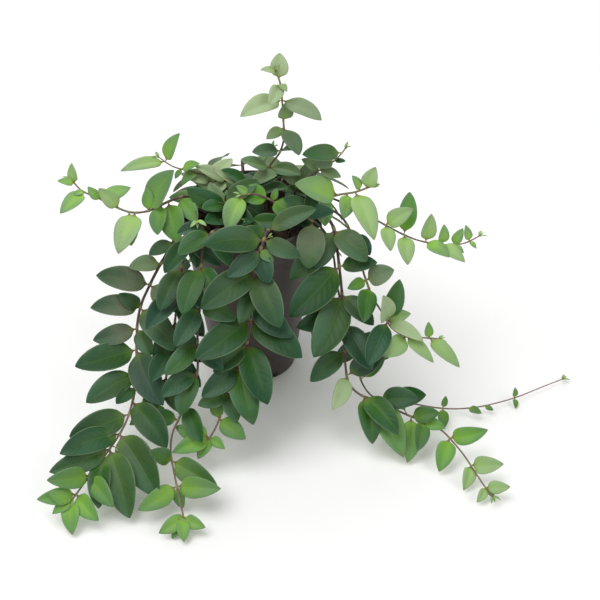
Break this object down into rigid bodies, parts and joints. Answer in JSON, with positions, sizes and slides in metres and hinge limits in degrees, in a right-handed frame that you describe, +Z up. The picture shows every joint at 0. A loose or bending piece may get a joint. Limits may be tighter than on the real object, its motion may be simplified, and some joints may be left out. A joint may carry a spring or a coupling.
{
  "type": "potted lipstick plant",
  "caption": "Trailing houseplant with glossy opposite leaves on long arching stems, in a plain tapered plastic grower's pot filled with soil, for a shelf, sill or table.",
  "frame": {"origin": "centre of the pot's underside, on the surface that the pot stands on", "axes": "+Z is up, along the pot's axis; -Y is the front, where the longest stems trail towards the viewer; +X is to the viewer's right"},
  "size_m": [0.4846, 0.4464, 0.3187],
  "materials": {
    "pot_plastic": "satin",
    "potting_soil": "matte",
    "leaf_dark": "satin",
    "leaf_middle": "satin",
    "leaf_fresh": "satin",
    "leaf_pale": "satin"
  },
  "bodies": {
    "root": {"pot": "pot_plastic", "soil": "potting_soil", "shoot_trail_left": "leaf_dark", "shoot_trail_front": "leaf_dark", "shoot_trail_right": "leaf_dark", "shoot_crown_right": "leaf_dark", "shoot_trail_inner_left": "leaf_dark", "shoot_back_left": "leaf_dark", "shoot_back_right": "leaf_dark", "shoot_trail_front_left": "leaf_middle", "shoot_runner_right": "leaf_middle", "shoot_trail_right_mid": "leaf_middle", "shoot_twig_top_left": "leaf_middle", "shoot_twig_top_right": "leaf_middle", "shoot_crown_left": "leaf_middle", "shoot_crown_front": "leaf_middle", "shoot_crown_middle": "leaf_middle", "shoot_back_middle": "leaf_middle", "shoot_back_side": "leaf_middle", "shoot_crown_back_right": "leaf_middle", "shoot_arch_right": "leaf_fresh", "shoot_arch_left": "leaf_fresh", "shoot_arch_right_top": "leaf_fresh", "shoot_twig_front": "leaf_fresh", "shoot_upright": "leaf_pale", "shoot_crown_back_left": "leaf_pale"}
  },
  "joints": []
}
